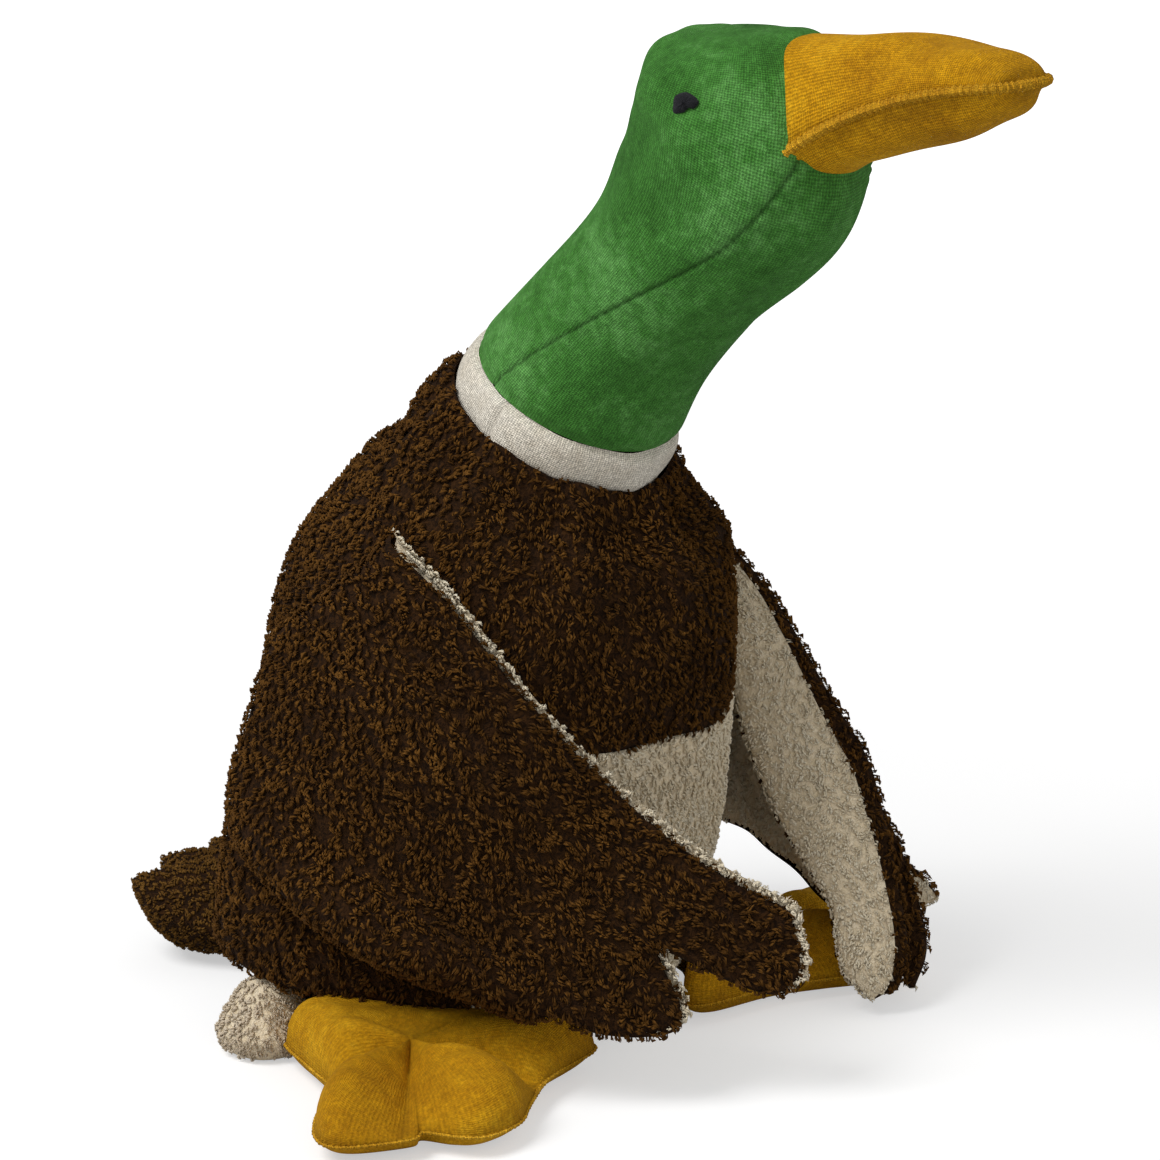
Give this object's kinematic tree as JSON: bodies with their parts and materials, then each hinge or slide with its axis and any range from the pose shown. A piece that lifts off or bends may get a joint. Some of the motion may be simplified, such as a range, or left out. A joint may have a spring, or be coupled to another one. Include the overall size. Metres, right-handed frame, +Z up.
{
  "type": "plush duck",
  "caption": "Sitting plush drake with a long bent neck, a stuffed beak, floppy lobed wings, webbed feet and a turned-up tail fan.",
  "frame": {"origin": "centre of the flat seat, on the surface that the toy sits on", "axes": "+Z up, -Y the way the breast faces, +X the toy's left"},
  "size_m": [0.3982, 0.4764, 0.4607],
  "materials": {
    "filling": "matt loose polyester wadding",
    "brown_fleece": "dark brown curly teddy fleece",
    "cream_fleece": "cream short curly fleece",
    "green_velour": "green knitted cotton velour with a fine rib",
    "cream_velour": "cream knitted cotton velour",
    "mustard_velour": "mustard yellow knitted cotton velour",
    "black_felt": "black felt"
  },
  "bodies": {
    "torso": {"torso_filling": "filling", "back_panel": "brown_fleece", "chest_panel": "brown_fleece", "belly_panel": "cream_fleece", "seat_panel": "cream_fleece"},
    "neck": {"neck_filling": "filling", "collar_band": "cream_velour"},
    "head": {"head_filling": "filling", "crown_panel": "green_velour", "throat_panel": "green_velour", "beak_filling": "filling", "beak_upper": "mustard_velour", "beak_lower": "mustard_velour", "eye_right": "black_felt", "eye_left": "black_felt"},
    "wing_right": {"wing_right_outer": "brown_fleece", "wing_right_lining": "cream_fleece"},
    "wing_left": {"wing_left_outer": "brown_fleece", "wing_left_lining": "cream_fleece"},
    "tail": {"tail_filling": "filling", "tail_upper": "brown_fleece", "tail_under": "brown_fleece"},
    "leg_right": {"leg_right_filling": "filling", "leg_right_upper": "cream_fleece", "leg_right_under": "cream_fleece", "foot_right_filling": "filling", "foot_right_upper": "mustard_velour", "foot_right_sole": "mustard_velour"},
    "leg_left": {"leg_left_filling": "filling", "leg_left_upper": "cream_fleece", "leg_left_under": "cream_fleece", "foot_left_filling": "filling", "foot_left_upper": "mustard_velour", "foot_left_sole": "mustard_velour"}
  },
  "joints": [
    {"name": "neck_nod", "type": "hinge", "parent": "torso", "child": "neck", "pos_m": [0, -0.05607, 0.28954], "axis": [1, 0, 0], "range_deg": [-12, 14], "stiffness_Nm_per_rad": 3, "springref_deg": -1.72},
    {"name": "head_turn", "type": "hinge", "parent": "neck", "child": "head", "pos_m": [0, -0.05894, 0.29452], "axis": [0, -0.5, 0.866], "range_deg": [-40, 40], "stiffness_Nm_per_rad": 0.6},
    {"name": "wing_right_lift", "type": "hinge", "parent": "torso", "child": "wing_right", "pos_m": [-0.09787, -0.00221, 0.21951], "axis": [-0.098, 0.7004, -0.707], "range_deg": [0, 60]},
    {"name": "wing_left_lift", "type": "hinge", "parent": "torso", "child": "wing_left", "pos_m": [0.09787, -0.00221, 0.21951], "axis": [-0.098, -0.7004, 0.707], "range_deg": [0, 60]},
    {"name": "leg_right_swing", "type": "hinge", "parent": "torso", "child": "leg_right", "pos_m": [-0.08885, 0.03319, 0], "axis": [0, 0, -1], "range_deg": [0, 25]},
    {"name": "leg_left_swing", "type": "hinge", "parent": "torso", "child": "leg_left", "pos_m": [0.08885, 0.03319, 0], "axis": [0, 0, 1], "range_deg": [0, 25]},
    {"name": "tail_lift", "type": "hinge", "parent": "torso", "child": "tail", "pos_m": [0, 0.09104, 0.0285], "axis": [1, 0, 0], "range_deg": [0, 20], "stiffness_Nm_per_rad": 0.3}
  ]
}
